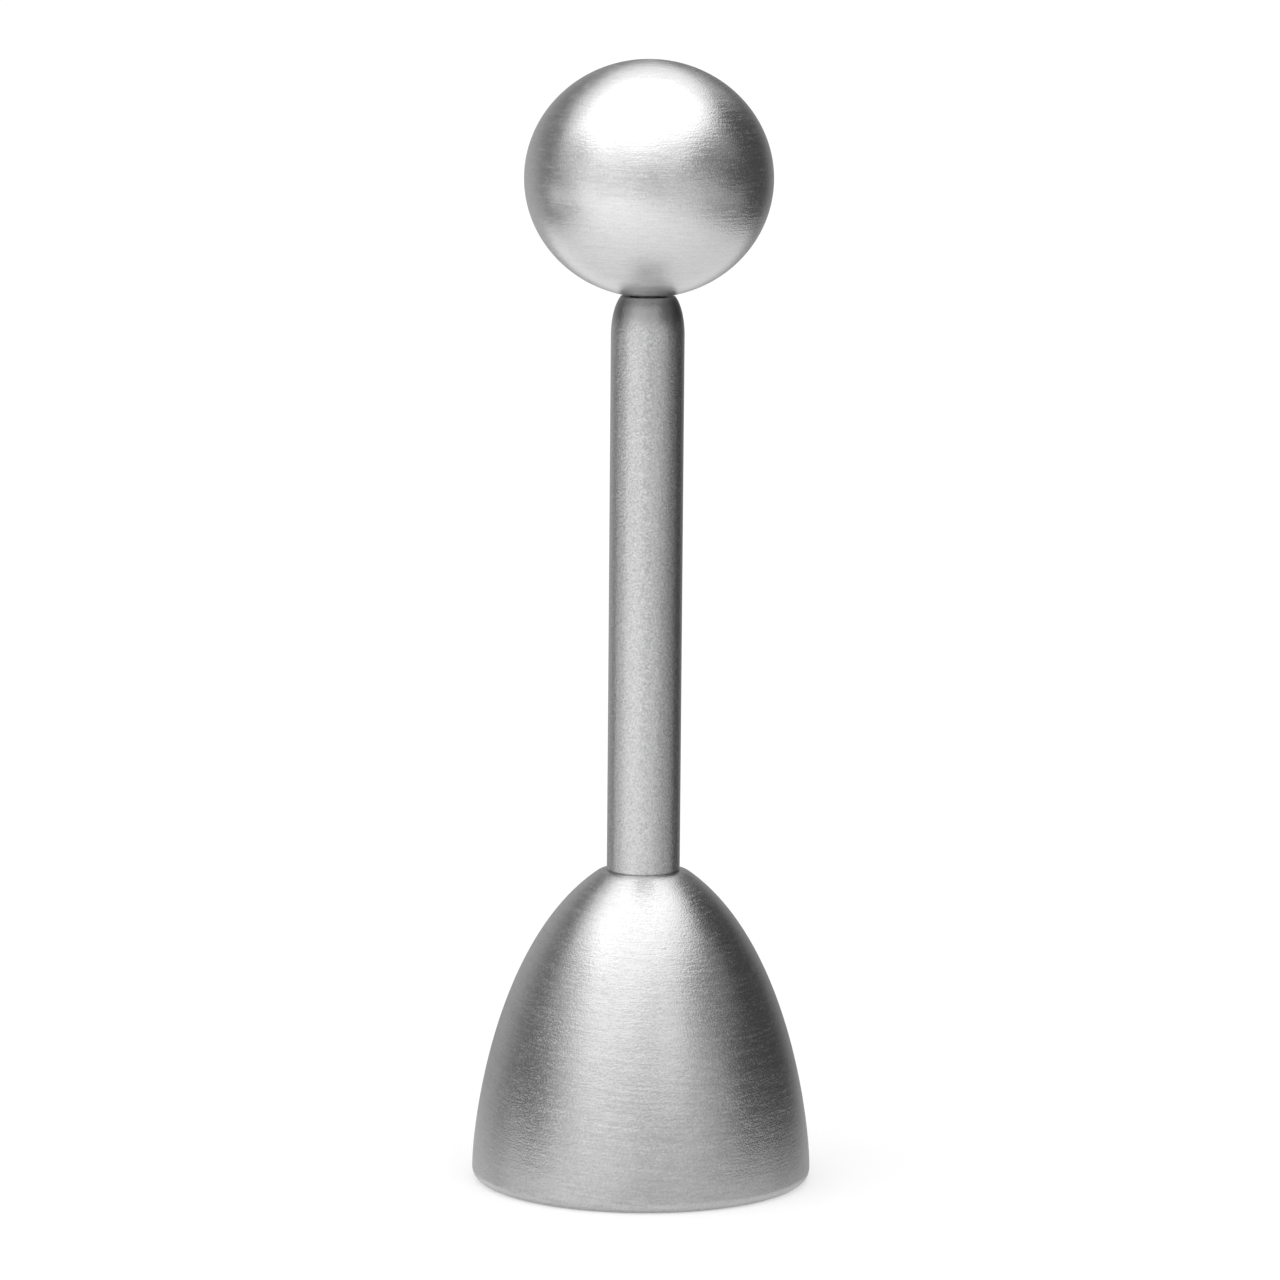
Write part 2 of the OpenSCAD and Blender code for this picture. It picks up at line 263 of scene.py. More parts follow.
def brushedSteel(name, spec):
    # Stainless steel brushed in rings: lights draw out into soft streaks across the brushing, and
    # short strokes, long scratches, a fine grain and scattered pits catch the light
    material, tree = emptyMaterial(name)
    place = roundCoordinates(tree)
    strokes = scratches(tree, place, spec["stroke"], spec["spacing"], spec["tilt"])
    drawn = scratches(tree, place, spec["scratch"], spec["spacing"] * finishRules["scratchSpread"],
                      -spec["tilt"])
    grain = scratches(tree, place, spec["grain"], spec["grain"], 0.0)
    cloud = addNode(tree, "ShaderNodeTexNoise", inputs={
        "Vector": place, "Scale": 1 / (spec["cloud"] * mm), "Detail": 3.0}).outputs["Fac"]
    pits = addNode(tree, "ShaderNodeTexVoronoi", inputs={
        "Vector": place, "Scale": 1 / (spec["pitSpacing"] * mm)}).outputs["Distance"]
    lines = addNode(tree, "ShaderNodeMix", inputs={
        0: spec["scratchShare"], 2: strokes, 3: drawn}).outputs[0]
    height = addNode(tree, "ShaderNodeMix", inputs={
        0: spec["grainShare"], 2: lines, 3: grain}).outputs[0]
    # Roughness = the cloudy ground + what the strokes and scratches add + what the pits add
    ground = addNode(tree, "ShaderNodeMapRange", inputs={
        0: cloud, 1: noiseLow, 2: noiseHigh,
        3: spec["roughness"] - spec["unevenness"], 4: spec["roughness"] + spec["unevenness"]})
    ploughLow, ploughHigh = finishRules["ploughRange"]
    ploughed = addNode(tree, "ShaderNodeMapRange", inputs={
        0: height, 1: ploughLow, 2: ploughHigh, 3: 0.0, 4: spec["scratchRoughness"]})
    pitted = addNode(tree, "ShaderNodeMapRange", inputs={
        0: pits, 1: spec["pitRadius"] / spec["pitSpacing"], 2: 0.0,
        3: 0.0, 4: finishRules["pitRoughness"]})
    marked = addNode(tree, "ShaderNodeMath", {"operation": "ADD"}, {
        0: ploughed.outputs[0], 1: pitted.outputs[0]})
    rough = addNode(tree, "ShaderNodeMath", {"operation": "ADD"}, {
        0: ground.outputs[0], 1: marked.outputs[0]})
    colourLow, colourHigh = finishRules["colourRange"]
    shade = addNode(tree, "ShaderNodeMapRange", inputs={
        0: height, 1: colourLow, 2: colourHigh, 3: 0.0, 4: 1.0})
    colour = addNode(tree, "ShaderNodeMix", {"data_type": "RGBA"}, {
        0: shade.outputs[0], 6: linearColour(spec["dark"]), 7: linearColour(spec["light"])}).outputs[2]
    # Painted shade: the base colour darkens towards the top of the piece
    if "paintedShade" in spec:
        colour = paintedShadeTowardsTop(tree, colour, spec["paintedShade"])
    bump = addNode(tree, "ShaderNodeBump", inputs={
        "Height": height, "Strength": 1.0, "Distance": spec["depth"] * mm})
    tangent = addNode(tree, "ShaderNodeTangent", {"direction_type": "UV_MAP", "uv_map": "UVMap"})
    shader = addNode(tree, "ShaderNodeBsdfPrincipled", inputs={
        "Base Color": colour, "Metallic": 1.0, "Roughness": rough.outputs[0],
        "Anisotropic": spec["anisotropy"], "Anisotropic Rotation": finishRules["crossTurn"],
        "Tangent": tangent.outputs[0], "Normal": bump.outputs[0]})
    addNode(tree, "ShaderNodeOutputMaterial", inputs={0: shader.outputs[0]})
    return material


# The finishes' dictionaries are in millimetres, and tilt is in degrees: stroke and scratch are lengths,
# spacing is the way from stroke to stroke, grain and cloud are widths, and depth is the bump's height

# Hand-brushed cup: the eye sees soft streaks and level strokes. Real 180-grit strokes are about
# 0.05 mm apart; these are drawn 0.19 mm apart, so that they show, with longer scratches among them
# that run a few degrees off level
bellSteelSpec = {
    "light": "#cdcdcd", "dark": "#b2b2b2", "roughness": 0.285, "unevenness": 0.008,
    "anisotropy": 0.25, "stroke": 1.2, "scratch": 6.0, "spacing": 0.19, "tilt": 5.0,
    "scratchShare": 0.45, "grain": 0.22, "grainShare": 0.5, "cloud": 9.0, "depth": 0.05,
    "scratchRoughness": 0.15, "pitSpacing": 3.2, "pitRadius": 0.22}
# Ball brushed on a lathe: a brighter steel with level strokes, drawn as coarse as the bell's
knobSteelSpec = {
    "light": "#dedede", "dark": "#cbcbcb", "roughness": 0.285, "unevenness": 0.008,
    "anisotropy": 0.3, "stroke": 1.2, "scratch": 6.0, "spacing": 0.19, "tilt": 2.0,
    "scratchShare": 0.45, "grain": 0.22, "grainShare": 0.45, "cloud": 7.0, "depth": 0.05,
    "scratchRoughness": 0.15, "pitSpacing": 5.0, "pitRadius": 0.1}
# Tube with a blasted look: no direction, an even grain, drawn about twice as coarse as real. Its
# rounded top end, close under the ball, is painted darker: painted shade of the ball's shadow mirrored
# in it
tubeTop = cadReach("handle_tube")[2]
tubeSteelSpec = {
    "light": "#d6d6d7", "dark": "#b2b2b3", "roughness": 0.285, "unevenness": 0.008,
    "anisotropy": 0.0, "stroke": 0.3, "scratch": 0.6, "spacing": 0.25, "tilt": 0.0,
    "scratchShare": 0.4, "grain": 0.22, "grainShare": 0.6, "cloud": 5.0, "depth": 0.05,
    "scratchRoughness": 0.12, "pitSpacing": 3.0, "pitRadius": 0.12,
    "paintedShade": {"from": tubeTop - 3.7, "to": tubeTop - 1.6, "colour": "#9a9a9b"}}
# Centreless-ground rod: smooth, with very fine rings that give it a sharper highlight
rodSteelSpec = {
    "light": "#d2d2d3", "dark": "#c2c2c3", "roughness": 0.22, "unevenness": 0.02,
    "anisotropy": 0.5, "stroke": 2.0, "scratch": 8.0, "spacing": 0.1, "tilt": 0.0,
    "scratchShare": 0.5, "grain": 0.1, "grainShare": 0.1, "cloud": 4.0, "depth": 0.001,
    "scratchRoughness": 0.05, "pitSpacing": 6.0, "pitRadius": 0.1}
# Turned steel of the anvil, the washers and the screw: visible lathe rings
turnedSteelSpec = {
    "light": "#c4c4c5", "dark": "#a6a6a8", "roughness": 0.32, "unevenness": 0.03,
    "anisotropy": 0.4, "stroke": 3.0, "scratch": 9.0, "spacing": 0.14, "tilt": 0.0,
    "scratchShare": 0.6, "grain": 0.12, "grainShare": 0.15, "cloud": 3.0, "depth": 0.003,
    "scratchRoughness": 0.1, "pitSpacing": 4.0, "pitRadius": 0.1}


def plainSteel(name, spec):
    # Drawn or ground steel with a fine even grain and no direction
    material, tree = emptyMaterial(name)
    place = addNode(tree, "ShaderNodeTexCoord").outputs["Object"]
    grain = addNode(tree, "ShaderNodeTexNoise", inputs={
        "Vector": place, "Scale": 1 / (spec["grain"] * mm), "Detail": 3.0}).outputs["Fac"]
    rough = addNode(tree, "ShaderNodeMapRange", inputs={
        0: grain, 1: noiseLow, 2: noiseHigh,
        3: spec["roughness"] - spec["unevenness"], 4: spec["roughness"] + spec["unevenness"]})
    colour = addNode(tree, "ShaderNodeMix", {"data_type": "RGBA"}, {
        0: grain, 6: linearColour(spec["dark"]), 7: linearColour(spec["light"])})
    bump = addNode(tree, "ShaderNodeBump", inputs={
        "Height": grain, "Strength": 1.0, "Distance": spec["depth"] * mm})
    shader = addNode(tree, "ShaderNodeBsdfPrincipled", inputs={
        "Base Color": colour.outputs[2], "Metallic": 1.0, "Roughness": rough.outputs[0],
        "Normal": bump.outputs[0]})
    addNode(tree, "ShaderNodeOutputMaterial", inputs={0: shader.outputs[0]})
    return material


# Drawn wire: a greyer steel with a dull, even shine, as its drawing skin is left on
springSteelSpec = {"light": "#a8a8aa", "dark": "#8c8c8f", "roughness": 0.3, "unevenness": 0.05,
                   "grain": 0.3, "depth": 0.003}
# Turned and tumbled striker: matt, with its edges and faces all alike
strikerSteelSpec = {"light": "#b4b4b6", "dark": "#9a9a9d", "roughness": 0.35, "unevenness": 0.04,
                    "grain": 0.25, "depth": 0.004}


def acetal(name, spec):
    # Moulded acetal: a dark plastic with a dull, slightly waxy shine and faint flow marks
    material, tree = emptyMaterial(name)
    place = addNode(tree, "ShaderNodeTexCoord").outputs["Object"]
    flow = addNode(tree, "ShaderNodeTexNoise", inputs={
        "Vector": place, "Scale": 1 / (spec["flow"] * mm), "Detail": 4.0}).outputs["Fac"]
    colour = addNode(tree, "ShaderNodeMix", {"data_type": "RGBA"}, {
        0: flow, 6: linearColour(spec["dark"]), 7: linearColour(spec["light"])})
    rough = addNode(tree, "ShaderNodeMapRange", inputs={
        0: flow, 1: noiseLow, 2: noiseHigh,
        3: spec["roughness"] - spec["unevenness"], 4: spec["roughness"] + spec["unevenness"]})
    bump = addNode(tree, "ShaderNodeBump", inputs={
        "Height": flow, "Strength": 1.0, "Distance": spec["depth"] * mm})
    shader = addNode(tree, "ShaderNodeBsdfPrincipled", inputs={
        "Base Color": colour.outputs[2], "Roughness": rough.outputs[0], "IOR": spec["ior"],
        "Normal": bump.outputs[0]})
    addNode(tree, "ShaderNodeOutputMaterial", inputs={0: shader.outputs[0]})
    return material


acetalSpec = {"light": "#3a3a3c", "dark": "#2c2c2e", "roughness": 0.43, "unevenness": 0.05,
              "ior": 1.48, "flow": 0.8, "depth": 0.004}

bellSteel = brushedSteel("handBrushedStainlessBell", bellSteelSpec)
knobSteel = brushedSteel("latheBrushedStainlessKnob", knobSteelSpec)
tubeSteel = brushedSteel("blastedStainlessTube", tubeSteelSpec)
rodSteel = brushedSteel("groundStainlessRod", rodSteelSpec)
turnedSteel = brushedSteel("turnedStainlessFittings", turnedSteelSpec)
springSteel = plainSteel("drawnSpringSteelWire", springSteelSpec)
strikerSteel = plainSteel("turnedSteelStriker", strikerSteelSpec)
bushPlastic = acetal("mouldedAcetalBush", acetalSpec)
print("materials made")

# Each piece's dictionary is in millimetres and degrees; steps and segments are counts.
# The bell: one pressed sheet from the crown's hole down the flank, round the rim and up the inside
bellShape = {
    "crownRadius": 5.05, "crownSlope": 34, "crownPull": 15, "skirtPull": 4.8, "rimHeight": 1.3,
    "rimWidth": 1.1, "wall": 1.2, "mouthRadius": 16.5, "holeRadius": 3.05, "edge": 0.12,
    "crownSoftness": 0.6, "fillet": 0.4, "flankSteps": 90, "rimSteps": 20, "segments": 192}


def bellProfile(s):
    # Crown flat, cubic flank, oval corner at the rim, flat ring, mouth, then the same flank inset
    radius, foot, top = cadReach("bell")
    hole, mouth, edge, wall, fillet = (
        s[key] for key in ("holeRadius", "mouthRadius", "edge", "wall", "fillet"))
    rimWidth, rimHeight = s["rimWidth"], s["rimHeight"]
    slope = math.radians(s["crownSlope"])
    crown = (s["crownRadius"], top)
    crownAim = (crown[0] + s["crownPull"] * math.cos(slope), top - s["crownPull"] * math.sin(slope))
    flank = cubicPoints([crown, crownAim, (radius, rimHeight + s["skirtPull"]), (radius, rimHeight)],
                        s["flankSteps"])
    rim = ovalPoints((radius - rimWidth, rimHeight), (rimWidth, rimHeight), 0, -90, s["rimSteps"])
    pastCrown = np.linalg.norm(flank - flank[0], axis=1) > s["crownSoftness"] * flatShare
    start = int(np.argmax(pastCrown))
    under = top - wall
    inner = insetPoints(flank, wall)[::-1]
    inner = inner[(inner[:, 1] > wall + 2 * fillet) & (inner[:, 1] < under - fillet)]
    crownIn = (inner[-1, 0] - (under - inner[-1, 1]) / math.tan(slope), under)
    wallIn = radius - wall
    return np.vstack([
        softCorner((hole, under), (hole, top), crown, edge),
        softCorner((hole, top), crown, flank[start], s["crownSoftness"]),
        flank[start + 1:], rim[1:],
        softCorner((radius, foot), (mouth, foot), (mouth, wall), edge),
        softCorner((mouth, foot), (mouth, wall), (wallIn, wall), edge),
        softCorner((mouth, wall), (wallIn, wall), (wallIn, under), fillet),
        inner,
        softCorner(inner[-1], crownIn, (hole, under), fillet),
        softCorner(crownIn, (hole, under), (hole, top), edge)])


bell = turned("bellCup", bellProfile(bellShape), bellShape["segments"])
finishPiece(bell, "handle", bellSteel, ["bell"])

# The handle tube: straight, with its top end spun in to an oval nose that is dished for the knob
tubeShape = {
    "wall": 0.8, "noseHeight": 4.6, "noseRise": 5.1, "noseInset": 2.0, "holeRadius": 2.2,
    "lip": 0.1, "dishGap": 0.15, "edge": 0.12, "lipEdge": 0.06, "noseSteps": 40, "dishSteps": 9,
    "segments": 128}


def tubeProfile(s):
    # Nose radius = tube radius - inset * (1 - sqrt(1 - (height / rise)^2)), outside and inside.
    # Dish height = the knob's oval underside less the gap, but never above the lip
    radius, foot, top = cadReach("handle_tube")
    bore = radius - s["wall"]
    noseFoot = top - s["noseHeight"]

    def nose(skin, height):
        # The nose's curve at the depth of the skin below the outside
        z = np.linspace(0, height, s["noseSteps"])
        drop = s["noseInset"] * (1 - np.sqrt(1 - (z / s["noseRise"]) ** 2))
        return np.column_stack([radius - skin - drop, noseFoot + z])

    outer = nose(0, s["noseHeight"])[::-1]
    inner = nose(s["wall"], s["noseHeight"] - s["wall"])
    hole, edge = s["holeRadius"], s["edge"]
    knobRadius, middle, knobTop = cadReach("knob_upper_shell")
    r = np.linspace(hole, outer[0, 0] - s["lip"], s["dishSteps"])
    under = middle - (knobTop - middle) * np.sqrt(1 - (r / knobRadius) ** 2)
    dish = np.column_stack([r, np.minimum(under - s["dishGap"], top)])
    return np.vstack([
        softCorner((hole, foot), dish[0], dish[2], s["lipEdge"]), dish[2:],
        softCorner(dish[-1], outer[0], outer[1], s["lipEdge"]),
        outer[1:],
        softCorner((radius, noseFoot), (radius, foot), (bore, foot), edge),
        softCorner((radius, foot), (bore, foot), (bore, top), edge),
        inner,
        softCorner(inner[-2], inner[-1], (hole, inner[-1, 1]), edge),
        softCorner(inner[-1], (hole, inner[-1, 1]), (hole, top), edge)])


tube = turned("handleTube", tubeProfile(tubeShape), tubeShape["segments"])
finishPiece(tube, "handle", tubeSteel, ["handle_tube"])

# The ball knob: two pressed halves welded and brushed over, so that no joint shows
knobShape = {"wall": 1.2, "edge": 0.05, "steps": 110, "innerSteps": 50, "segments": 192}


def knobProfile(s):
    # Two ovals, outer and inner, cut off below where the threaded insert fills the ball
    radius, middle, top = cadReach("knob_upper_shell")
    insertRadius = cadReach("knob_insert")[0]
    radii = (radius, top - middle)
    innerRadii = (radius - s["wall"], top - middle - s["wall"])
    cut = -math.degrees(math.acos(insertRadius / radii[0]))
    innerCut = -math.degrees(math.acos(insertRadius / innerRadii[0]))
    outer = ovalPoints((0, middle), radii, 90, cut, s["steps"])
    inner = ovalPoints((0, middle), innerRadii, innerCut, 90, s["innerSteps"])
    outer[0, 0] = inner[-1, 0] = 0  # both poles lie on the axis
    return np.vstack([outer[:-1], softCorner(outer[-2], outer[-1], inner[0], s["edge"]),
                      softCorner(outer[-1], inner[0], inner[1], s["edge"]), inner[1:]])


knob = turned("ballKnob", knobProfile(knobShape), knobShape["segments"])
finishPiece(knob, "plunger", knobSteel, ["knob_upper_shell", "knob_lower_shell"])

# The knob's threaded insert, dressed flush with the ball
insertShape = {"edge": 0.05, "threadDepth": 8.0, "steps": 24, "segments": 96}


def insertProfile(s):
    # Straight boss whose lower face follows the ball's oval, with a blind hole for the rod
    radius, _, top = cadReach("knob_insert")
    knobRadius, middle, knobTop = cadReach("knob_upper_shell")
    rod = cadReach("pull_rod")[0]
    height = knobTop - middle
    outerCut = -math.degrees(math.acos(radius / knobRadius))
    innerCut = -math.degrees(math.acos(rod / knobRadius))
    face = ovalPoints((0, middle), (knobRadius, height), outerCut, innerCut, s["steps"])
    deep = middle - height + s["threadDepth"]
    return np.vstack([
        [(0, top)], softCorner((0, top), (radius, top), face[0], s["edge"]),
        softCorner((radius, top), face[0], face[1], s["edge"]), face[1:-1],
        softCorner(face[-2], face[-1], (rod, deep), s["edge"]),
        softCorner(face[-1], (rod, deep), (0, deep), s["edge"]), [(0, deep)]])


insert = turned("knobInsert", insertProfile(insertShape), insertShape["segments"])
finishPiece(insert, "plunger", knobSteel, ["knob_insert"])

# The pull rod: a plain bar with broken ends
rodShape = {"edge": 0.3, "segments": 96}
rodRadius, rodFoot, rodTop = cadReach("pull_rod")
rod = turned("pullRod", softPath([
    (0, rodTop), (rodRadius, rodTop), (rodRadius, rodFoot), (0, rodFoot)],
    rodShape["edge"]), rodShape["segments"])
finishPiece(rod, "plunger", rodSteel, ["pull_rod"])

# The guide bush: a stepped sleeve whose nose fills the hole in the tube's top
bushShape = {"noseRadius": 2.2, "play": 0.06, "straight": 6.1, "edge": 0.15, "segments": 96}
bushRadius, bushFoot, bushTop = cadReach("guide_bush")
bushBore = rodRadius + bushShape["play"]
bushStep = bushFoot + bushShape["straight"]
bush = turned("guideBush", softLoop([
    (bushBore, bushTop), (bushShape["noseRadius"], bushTop), (bushShape["noseRadius"], bushStep),
    (bushRadius, bushStep), (bushRadius, bushFoot), (bushBore, bushFoot)],
    bushShape["edge"]), bushShape["segments"])
finishPiece(bush, "handle", bushPlastic, ["guide_bush"])

# The anvil: a plug with a spigot below and a blind tapped hole
anvilShape = {"spigotRadius": 3.0, "tapRadius": 2.0, "tapDepth": 7.8, "edge": 0.15, "segments": 96}
anvilRadius, anvilFoot, anvilTop = cadReach("anvil")
tubeFoot = cadReach("handle_tube")[1]
tapTop = anvilFoot + anvilShape["tapDepth"]
anvil = turned("strikeAnvil", softPath([
    (0, anvilTop), (anvilRadius, anvilTop), (anvilRadius, tubeFoot),
    (anvilShape["spigotRadius"], tubeFoot), (anvilShape["spigotRadius"], anvilFoot),
    (anvilShape["tapRadius"], anvilFoot), (anvilShape["tapRadius"], tapTop), (0, tapTop)],
    anvilShape["edge"]), anvilShape["segments"])
finishPiece(anvil, "handle", turnedSteel, ["anvil"])


def washerOutline(node, s):
    # A flat ring's section with broken edges, its outside read from the CAD node
    radius, foot, top = cadReach(node)
    bore = s["bore"]
    return softLoop([(bore, top), (radius, top), (radius, foot), (bore, foot)], s["edge"])


# The flat washer under the bell's crown, and the one that the spring stands on
flatShape = {"bore": 2.15, "edge": 0.1, "segments": 96}
flatWasher = turned("bellWasher", washerOutline("bell_washer", flatShape), flatShape["segments"])
finishPiece(flatWasher, "handle", turnedSteel, ["bell_washer"])
seatPlay = 0.1
seatShape = {"bore": rodRadius + seatPlay, "edge": 0.08, "segments": 96}
seatWasher = turned("springWasher", washerOutline("spring_washer", seatShape), seatShape["segments"])
finishPiece(seatWasher, "spring_seat", turnedSteel, ["spring_washer"])

# The split lock washer
lockShape = {"bore": 2.15, "split": 0.7, "edge": 0.1, "segments": 96}


def splitRing(name, node, s):
    # The washer's outline swept from one side of the split to the other, with both ends closed
    radius = cadReach(node)[0]
    outline = washerOutline(node, s)
    gap = math.asin(s["split"] / (radius + s["bore"]))
    a = np.linspace(gap, 2 * math.pi - gap, s["segments"])
    r, z = outline[:, :1], np.repeat(outline[:, 1:], len(a), 1)
    points = np.stack([r * np.cos(a), r * np.sin(a), z], -1).reshape(-1, 3)
    number = np.arange(len(points)).reshape(len(outline), len(a))
    ends = np.stack([number[::-1, 0], number[:, -1]])
    faces = gridFaces(np.vstack([number, number[:1]]))
    along = np.arange(len(outline) + 1.0) * s["edge"]
    endUvs = np.stack([outline[::-1], outline])
    return meshObject(name, points, [faces, ends], [gridMap(a * radius, along), endUvs])


lockWasher = splitRing("lockWasher", "lock_washer", lockShape)
finishPiece(lockWasher, "handle", springSteel, ["lock_washer"])

# The bell's screw: round head with a hexagon socket that opens downwards
screwShape = {"shankRadius": 2.0, "tip": 0.3, "socketFlats": 2.5, "socketDepth": 1.4,
              "headHeight": 2.4, "headRound": 1.0, "edge": 0.12, "roundSteps": 14, "segments": 96}


def screwProfile(s):
    # From the tip down the shank, round the head, and up the socket, whose rings are hexagons
    radius, foot, top = cadReach("bell_screw")
    shank, flats, bend, edge = s["shankRadius"], s["socketFlats"] / 2, s["headRound"], s["edge"]
    headTop, deep = foot + s["headHeight"], foot + s["socketDepth"]
    tip, shankTop, shankFoot, headRim = (0, top), (shank, top), (shank, headTop), (radius, headTop)
    body = np.vstack([[tip], softCorner(tip, shankTop, shankFoot, s["tip"]),
                      softCorner(shankTop, shankFoot, headRim, edge),
                      softCorner(shankFoot, headRim, (radius, foot), edge)])
    crown = ovalPoints((radius - bend, foot + bend), (bend, bend), 0, -90, s["roundSteps"])
    lip = softCorner((radius, foot), (flats, foot), (flats, deep), edge)
    socket = np.vstack([softCorner((flats, foot), (flats, deep), (0, deep), edge), [(0, deep)]])
    hexShare = np.concatenate([np.zeros(len(body) + len(crown)), np.ones(len(lip) + len(socket))])
    return np.vstack([body, crown, lip, socket]), hexShare


screwOutline, screwHex = screwProfile(screwShape)
screw = turned("bellScrew", screwOutline, screwShape["segments"], screwHex)
finishPiece(screw, "handle", turnedSteel, ["bell_screw"])

# The spring: one wire wound between the bush and its washer
springShape = {"wire": 0.7, "turns": 18, "endGap": 0.45, "ringsPerTurn": 24, "sides": 10}


def springMesh(name, s):
    # Centre line: x = R cos, y = R sin of the turn, z climbs at the end pitch in the first and last
    # turn and evenly between; each ring is a circle of the wire's radius round that line
    radius, foot, top = cadReach("spring")
    wireRadius, turns = s["wire"] / 2, s["turns"]
    coil = radius - wireRadius
    n = np.arange(turns * s["ringsPerTurn"] + 1) / s["ringsPerTurn"]
    endPitch = s["wire"] + s["endGap"]
    rise = top - foot - s["wire"]
    climb = np.interp(n, [0, 1, turns - 1, turns], [0, endPitch, rise - endPitch, rise])
    b = np.arange(s["sides"]) * 2 * math.pi / s["sides"]
    turn = n[:, None] * 2 * math.pi
    r = coil + wireRadius * np.cos(b)[None, :]
    z = (foot + wireRadius + climb)[:, None] + wireRadius * np.sin(b)[None, :]
    points = np.stack([r * np.cos(turn), r * np.sin(turn), z], -1)
    number = np.arange(z.size).reshape(z.shape)
    faces = gridFaces(np.hstack([number, number[:, :1]]))
    ends = np.stack([number[0], number[-1, ::-1]])
    uvs = [np.zeros((*group.shape, 2)) for group in (faces, ends)]
    return meshObject(name, points.reshape(-1, 3), [faces, ends], uvs)


spring = springMesh("returnSpring", springShape)
finishPiece(spring, "handle", springSteel, ["spring"])
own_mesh(spring)

for nodeName, material in (("striker", strikerSteel), ("striker_pin", springSteel)):
    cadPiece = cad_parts[nodeName]
    cadPiece.data.materials.clear()
    cadPiece.data.materials.append(material)
print("pieces made")

# Floor and light of the studio, in metres. The floor is a round sheet of matt white paper whose edge
# fades out, so that the steel mirrors a small bright sheet and a dim room behind it
floorShape = {
    "radius": 0.36, "centre": (-0.05, -0.2), "whiteRadius": 0.06, "fadeEnd": 0.98, "segments": 96,
    "colour": "#f2f2f2", "dimCentre": (0.02, 0.06, 0.0), "dimInner": 0.03, "dimOuter": 0.15,
    "dimShare": 0.1, "holeRadius": 0.0165}


def roundFloor(s):
    # A level disc: one ring of points and a centre, joined as a fan
    a = np.arange(s["segments"]) * 2 * math.pi / s["segments"]
    ring = np.column_stack([np.cos(a), np.sin(a), np.zeros(len(a))]) * s["radius"] / mm
    points = np.vstack([ring, [0, 0, 0]]) + np.array([*s["centre"], 0]) / mm
    number = np.arange(s["segments"])
    fan = np.stack([np.full(len(a), len(a)), number, np.roll(number, -1)], -1)
    return meshObject("studioFloor", points, [fan], [np.zeros((len(a), 3, 2))])


def whitePaper(name, s):
    # Matt white paper, clear from below: its cover falls smoothly to nothing towards the sheet's edge,
    # is a little thinner in a patch round the object, a painted shadow of the object that the steel
    # mirrors, and has a hole under the bell, which lets the light from beneath reach its inside
    material, tree = emptyMaterial(name)
    place = addNode(tree, "ShaderNodeTexCoord").outputs["Object"]

    def ringShare(centre, inner, outer, inside, outside):
        # Inside value up to the inner radius, then smoothly to the outside value at the outer radius
        outward = addNode(tree, "ShaderNodeVectorMath", {"operation": "DISTANCE"}, {
            0: place, 1: centre})
        return addNode(tree, "ShaderNodeMapRange", {"interpolation_type": "SMOOTHSTEP"}, {
            0: outward.outputs["Value"], 1: inner, 2: outer, 3: inside, 4: outside}).outputs[0]

    fade = ringShare((*s["centre"], 0.0), s["whiteRadius"], s["radius"] * s["fadeEnd"], 1.0, 0.0)
    # The dim patch is a painted shadow of the object: a thinner floor cover round it
    dim = ringShare(s["dimCentre"], s["dimInner"], s["dimOuter"], 1.0 - s["dimShare"], 1.0)
    hole = ringShare((0.0, 0.0, 0.0), s["holeRadius"], s["holeRadius"] + mm, 0.0, 1.0)
    thinned = addNode(tree, "ShaderNodeMath", {"operation": "MULTIPLY"}, {0: dim, 1: hole})
    cover = addNode(tree, "ShaderNodeMath", {"operation": "MULTIPLY"}, {
        0: fade, 1: thinned.outputs[0]})
    under = addNode(tree, "ShaderNodeNewGeometry").outputs["Backfacing"]
    share = addNode(tree, "ShaderNodeMath", {"operation": "SUBTRACT", "use_clamp": True}, {
        0: cover.outputs[0], 1: under})
    clear = addNode(tree, "ShaderNodeBsdfTransparent")
    sheet = addNode(tree, "ShaderNodeBsdfDiffuse", inputs={0: linearColour(s["colour"])})
    mixed = addNode(tree, "ShaderNodeMixShader", inputs={
        0: share.outputs[0], 1: clear.outputs[0], 2: sheet.outputs[0]})
    addNode(tree, "ShaderNodeOutputMaterial", inputs={0: mixed.outputs[0]})
    return material


floor = roundFloor(floorShape)
floor.data.materials.append(whitePaper("mattWhitePaperFloor", floorShape))

# Soft boxes: azimuth and elevation in degrees (azimuth 0 is at the camera, 90 at its right),
# distance, width and height in metres, radiance, and the share of the box over which its edge fades
softBoxes = {
    "ceiling": (-53, 85, 0.57, 1.28, 1.28, 0.75, 0.12),
    "keyLeft": (-71, 32, 0.30, 0.32, 0.39, 0.57, 0.57),
    "keyFront": (-8, 62, 0.60, 1.49, 1.62, 0.93, 0.45),
    "keyRight": (62, 30, 0.86, 1.06, 0.38, 0.21, 0.05),
    "lowLeft": (-78, -11, 1.20, 1.40, 0.33, 0.88, 0.30),
    "lowFront": (-36, -2, 0.30, 0.59, 0.55, 0.98, 1.00),
    "lowRight": (26, 2, 0.30, 0.90, 0.32, 0.74, 1.00),
    "farRight": (80, -12, 1.20, 1.00, 0.28, 0.40, 0.30),
    "sideLeft": (-132, 17, 0.32, 0.51, 0.39, 0.13, 0.05),
    "backLeft": (-167, -8, 0.30, 1.04, 0.60, 0.3, 0.77),
    "backRight": (166, 74, 0.53, 0.70, 1.33, 0.44, 0.54),
    "beneath": (0, -90, 0.30, 1.60, 1.60, 0.79, 0.50),
}
boxTarget = [0, 0, 0.07]  # the object's middle, which all boxes face


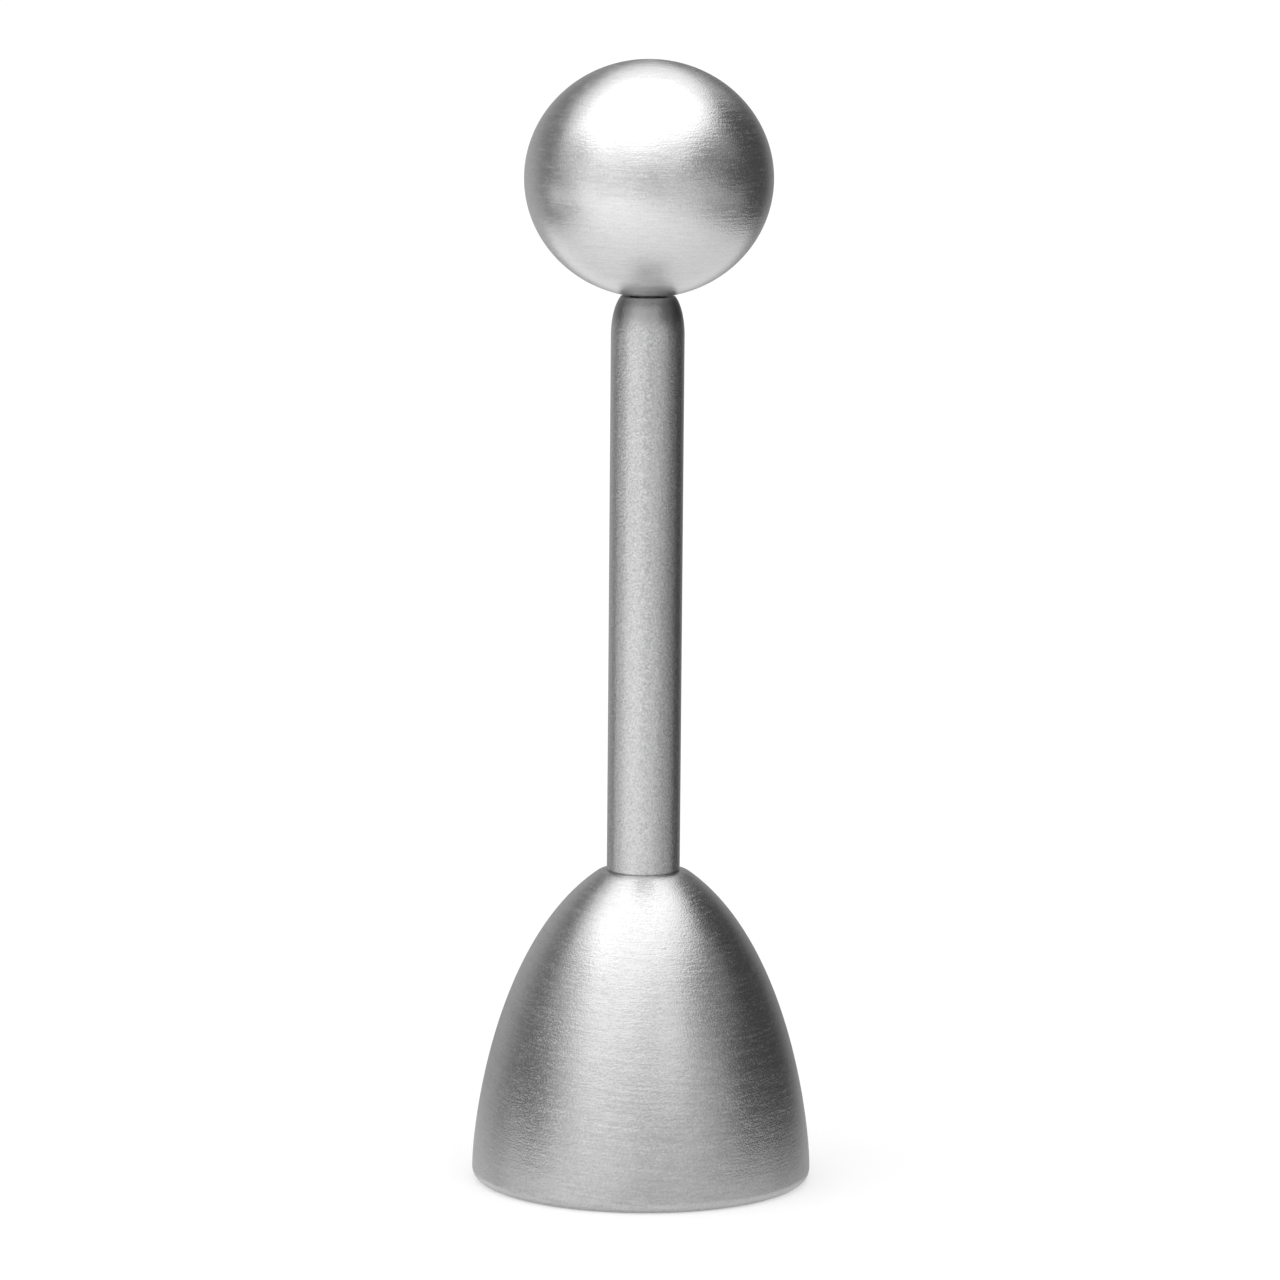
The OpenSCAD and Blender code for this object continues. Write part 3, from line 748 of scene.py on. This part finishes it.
def softBox(name, azimuth, elevation, distance, width, height, radiance, fade):
    # A soft box on a sphere round the target, turned to face it. Its light falls smoothly from
    # full to nothing over the outer share of its width and height
    a, e = math.radians(azimuth), math.radians(elevation)
    back = np.array([math.sin(a) * math.cos(e), -math.cos(a) * math.cos(e), math.sin(e)])
    lamp = bpy.data.lights.new(name, "AREA")
    lamp.shape = "RECTANGLE"
    lamp.size, lamp.size_y = width, height
    lamp.energy = radiance * width * height * math.pi
    lamp.use_nodes = True
    tree = lamp.node_tree
    tree.nodes.clear()
    spot = addNode(tree, "ShaderNodeSeparateXYZ", inputs={
        0: addNode(tree, "ShaderNodeNewGeometry").outputs["Parametric"]})
    shares = []
    for side in (0, 1):
        outward = addNode(tree, "ShaderNodeMath", {"operation": "MULTIPLY_ADD"}, {
            0: spot.outputs[side], 1: 2.0, 2: -1.0})
        offset = addNode(tree, "ShaderNodeMath", {"operation": "ABSOLUTE"}, {0: outward.outputs[0]})
        shares.append(addNode(tree, "ShaderNodeMapRange", {"interpolation_type": "SMOOTHSTEP"}, {
            0: offset.outputs[0], 1: 1.0, 2: 1.0 - fade, 3: 0.0, 4: 1.0}).outputs[0])
    strength = addNode(tree, "ShaderNodeMath", {"operation": "MULTIPLY"}, {0: shares[0], 1: shares[1]})
    glow = addNode(tree, "ShaderNodeEmission", inputs={1: strength.outputs[0]})
    addNode(tree, "ShaderNodeOutputLight", inputs={0: glow.outputs[0]})
    box = bpy.data.objects.new(name, lamp)
    box.location = (back * distance + boxTarget).tolist()
    box.rotation_euler = Euler((math.pi / 2 - e, 0, a))
    box.visible_camera = False
    bpy.context.scene.collection.objects.link(box)
    return box


for lampName, values in softBoxes.items():
    softBox(lampName, *values)

# The room: a dim even fill on the object, and white behind it where the camera looks past it
roomSpec = {"fill": 0.07, "backdrop": 1.05}
world = bpy.data.worlds.new("studioWorld")
bpy.context.scene.world = world
world.use_nodes = True
world.node_tree.nodes.clear()
seen = addNode(world.node_tree, "ShaderNodeLightPath").outputs["Is Camera Ray"]
level = addNode(world.node_tree, "ShaderNodeMapRange", inputs={
    0: seen, 3: roomSpec["fill"], 4: roomSpec["backdrop"]})
sky = addNode(world.node_tree, "ShaderNodeBackground", inputs={0: (1, 1, 1, 1), 1: level.outputs[0]})
addNode(world.node_tree, "ShaderNodeOutputWorld", inputs={0: sky.outputs[0]})
print("studio made")

# The camera: a long lens a little above the knob, tipped down, and turned by half a degree. Its lens
# and sensor are in millimetres, its place and clip in metres, and its angles in degrees
cameraSpec = {"lens": 169.73, "sensor": 36, "place": (-0.000608, -0.7, 0.16513), "down": 8.206,
              "turn": 0.474, "clip": (0.05, 30)}
lens = bpy.data.cameras.new("photoCamera")
lens.lens = cameraSpec["lens"]
lens.sensor_width = cameraSpec["sensor"]
lens.clip_start, lens.clip_end = cameraSpec["clip"]
photoCamera = bpy.data.objects.new("photoCamera", lens)
photoCamera.location = cameraSpec["place"]
tip = Euler((math.radians(90 - cameraSpec["down"]), 0, 0)).to_matrix()
roll = Euler((0, 0, math.radians(cameraSpec["turn"]))).to_matrix()
photoCamera.rotation_euler = (tip @ roll).to_euler()
bpy.context.scene.collection.objects.link(photoCamera)
bpy.context.scene.camera = photoCamera
bpy.context.scene.view_settings.view_transform = "Standard"
